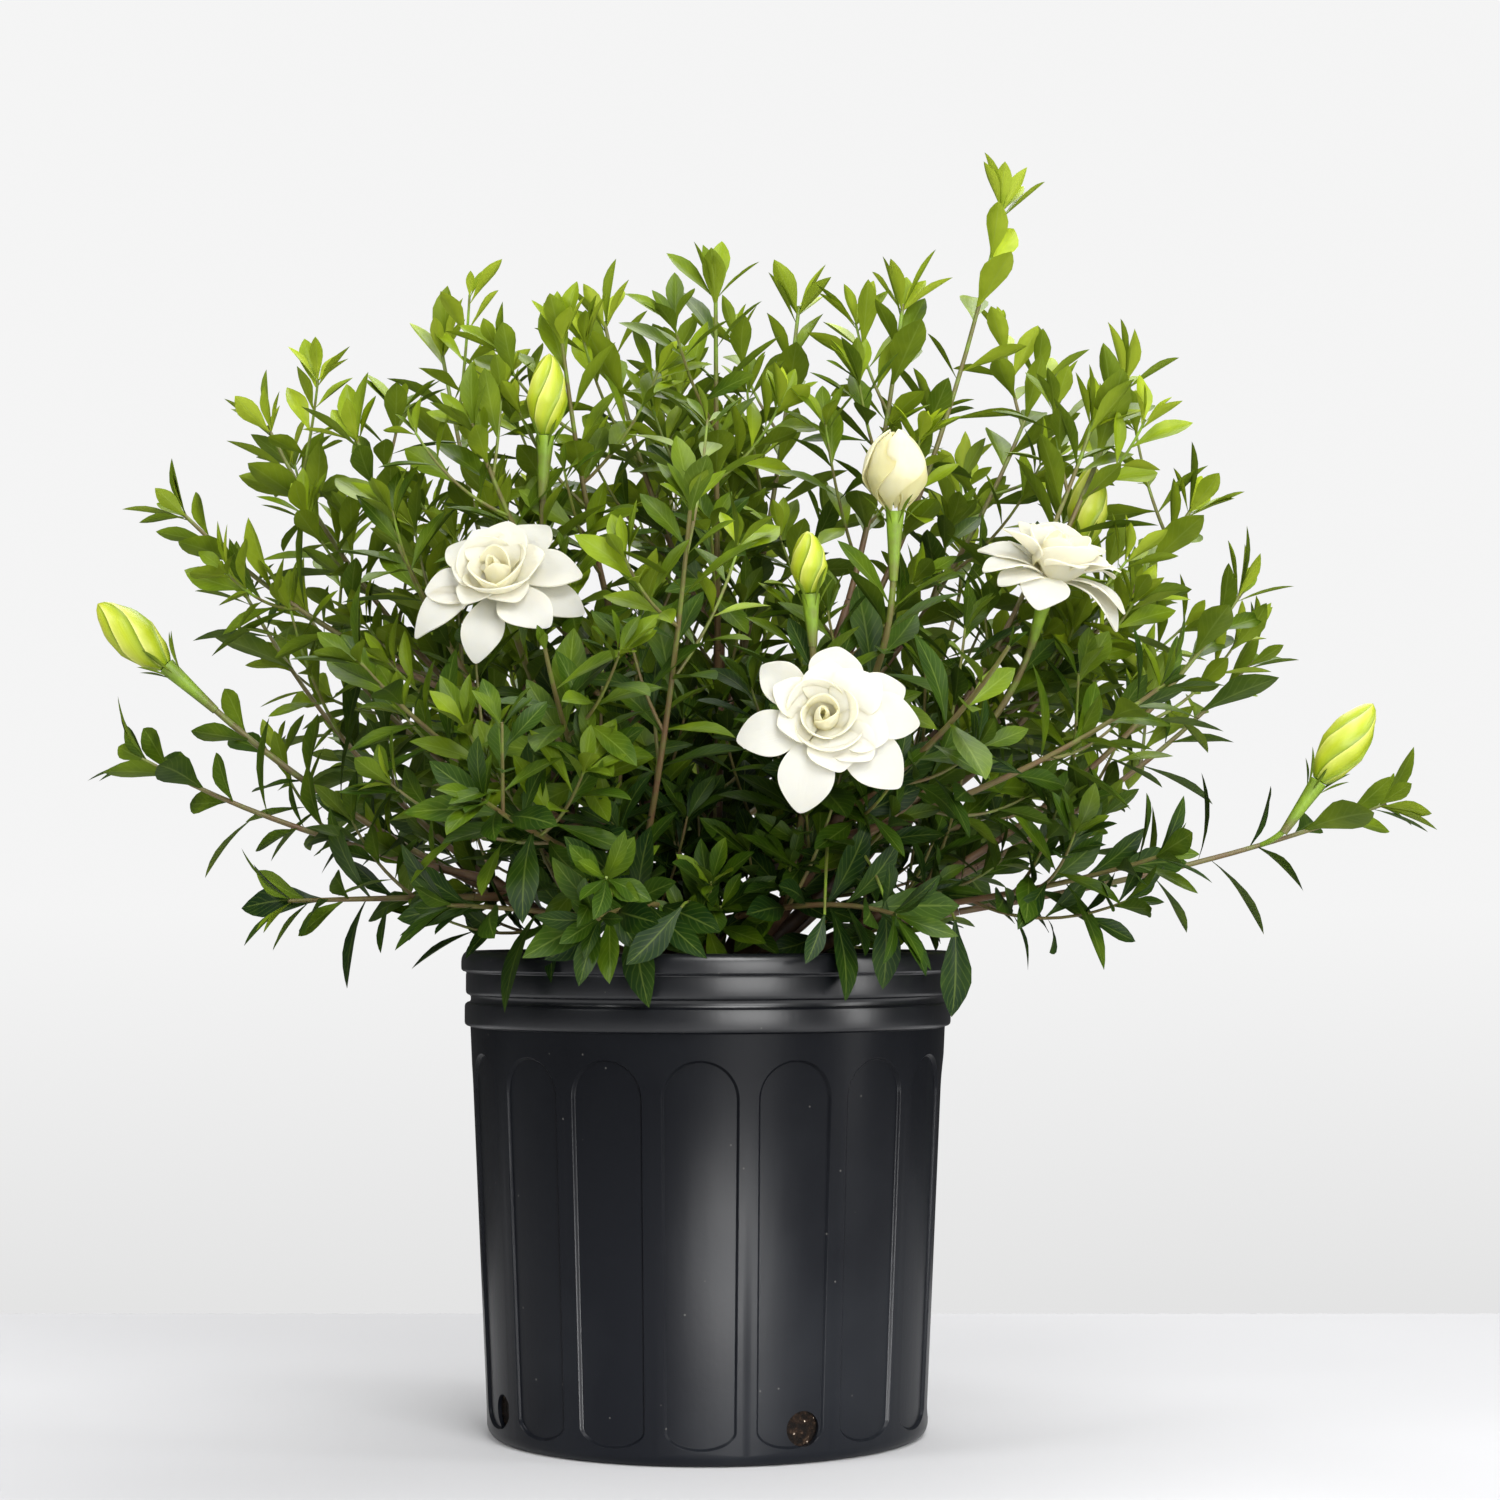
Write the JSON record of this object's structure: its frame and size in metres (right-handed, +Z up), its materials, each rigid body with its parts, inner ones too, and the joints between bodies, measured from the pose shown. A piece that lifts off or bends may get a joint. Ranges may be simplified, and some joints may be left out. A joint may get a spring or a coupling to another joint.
{
  "type": "potted gardenia",
  "caption": "Bushy flowering gardenia shrub with glossy evergreen leaves, white double blooms and green buds, growing in a black fluted plastic nursery pot.",
  "frame": {"origin": "centre of the underside of the pot's flat base", "axes": "+Z up along the pot's axis, the side with the low front bloom faces -Y, +X along the bush's widest spread, to the right seen from the front"},
  "size_m": [0.6259, 0.4363, 0.6062],
  "materials": {
    "pot": "satin",
    "soil": "matte",
    "wood": "matte",
    "young_leaf": "satin",
    "leaf": "satin",
    "old_leaf": "gloss",
    "petal": "matte",
    "bud": "satin"
  },
  "bodies": {
    "root": {"pot": "pot", "soil": "soil", "woody_stems": "wood", "bloom_left": "petal", "bloom_front": "petal", "bloom_right": "petal", "bud_opening": "petal", "bud_top_left": "bud", "bud_front": "bud", "bud_far_left": "bud", "bud_far_right": "bud", "shoot_01": "leaf", "shoot_02": "old_leaf", "shoot_03": "leaf", "shoot_04": "leaf", "shoot_05": "leaf", "shoot_06": "leaf", "shoot_07": "leaf", "shoot_08": "leaf", "shoot_09": "young_leaf", "shoot_10": "leaf", "shoot_11": "young_leaf", "shoot_12": "young_leaf", "shoot_13": "leaf", "shoot_14": "leaf", "shoot_15": "young_leaf", "shoot_16": "young_leaf", "shoot_17": "young_leaf", "shoot_18": "young_leaf", "shoot_19": "young_leaf", "shoot_20": "young_leaf", "shoot_21": "young_leaf", "shoot_22": "leaf", "shoot_23": "young_leaf", "shoot_24": "leaf", "shoot_25": "leaf", "shoot_26": "leaf", "shoot_27": "leaf", "shoot_28": "leaf", "shoot_29": "old_leaf", "shoot_30": "leaf", "shoot_31": "leaf", "shoot_32": "leaf", "shoot_33": "leaf", "shoot_34": "leaf", "shoot_35": "leaf", "shoot_36": "leaf", "shoot_37": "leaf", "shoot_38": "leaf", "shoot_39": "leaf", "shoot_40": "leaf", "shoot_41": "leaf", "shoot_42": "leaf", "shoot_43": "leaf", "shoot_44": "leaf", "shoot_45": "leaf", "shoot_46": "leaf", "shoot_47": "old_leaf", "shoot_48": "old_leaf", "shoot_49": "old_leaf"}
  },
  "joints": []
}
